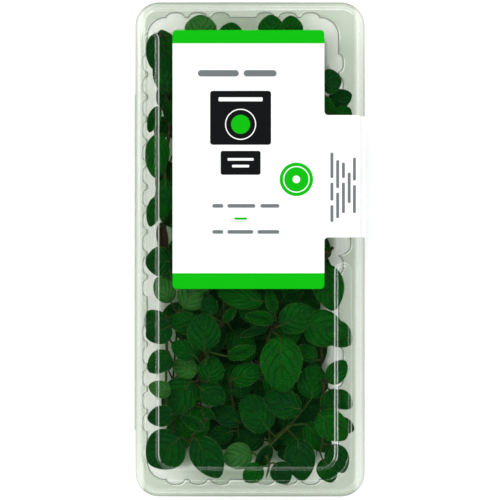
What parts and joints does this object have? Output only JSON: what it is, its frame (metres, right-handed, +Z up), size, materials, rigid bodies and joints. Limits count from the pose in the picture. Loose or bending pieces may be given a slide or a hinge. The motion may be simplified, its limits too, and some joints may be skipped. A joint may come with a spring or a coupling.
{
  "type": "filled herb punnet",
  "caption": "Clear hinged clamshell punnet with fluted walls, filled with cut oregano sprigs and closed by a white and green paper label.",
  "frame": {"origin": "Middle of the underside of the closed punnet, on the surface that it rests on.", "axes": "+Z up through the lid, +Y along the punnet towards the end that the label is nearer to, +X towards the wide flange that the seal is folded over. The living hinge is on the -X side."},
  "size_m": [0.0939, 0.1996, 0.0303],
  "materials": {
    "clear_plastic": "gloss",
    "label_paper": "satin",
    "herb": "matte"
  },
  "bodies": {
    "tray": {"tray": "clear_plastic", "hinge": "clear_plastic", "seal": "label_paper", "sprig_01": "herb", "sprig_02": "herb", "sprig_03": "herb", "sprig_04": "herb", "sprig_05": "herb", "sprig_06": "herb", "sprig_07": "herb", "sprig_08": "herb", "sprig_09": "herb", "sprig_10": "herb", "sprig_11": "herb", "sprig_12": "herb", "sprig_13": "herb", "sprig_14": "herb", "sprig_15": "herb", "sprig_16": "herb", "sprig_17": "herb", "sprig_18": "herb", "sprig_19": "herb", "sprig_20": "herb", "sprig_21": "herb", "sprig_22": "herb", "sprig_23": "herb", "sprig_24": "herb", "sprig_25": "herb", "sprig_26": "herb", "sprig_27": "herb", "sprig_28": "herb", "sprig_29": "herb", "sprig_30": "herb", "sprig_31": "herb", "sprig_32": "herb", "sprig_33": "herb", "sprig_34": "herb", "sprig_35": "herb", "sprig_36": "herb"},
    "lid": {"lid": "clear_plastic", "label": "label_paper"}
  },
  "joints": [
    {"name": "lid_hinge", "type": "hinge", "parent": "tray", "child": "lid", "pos_m": [-0.0466, 0, 0.022], "axis": [0, -1, 0], "range_deg": [0, 180]}
  ]
}
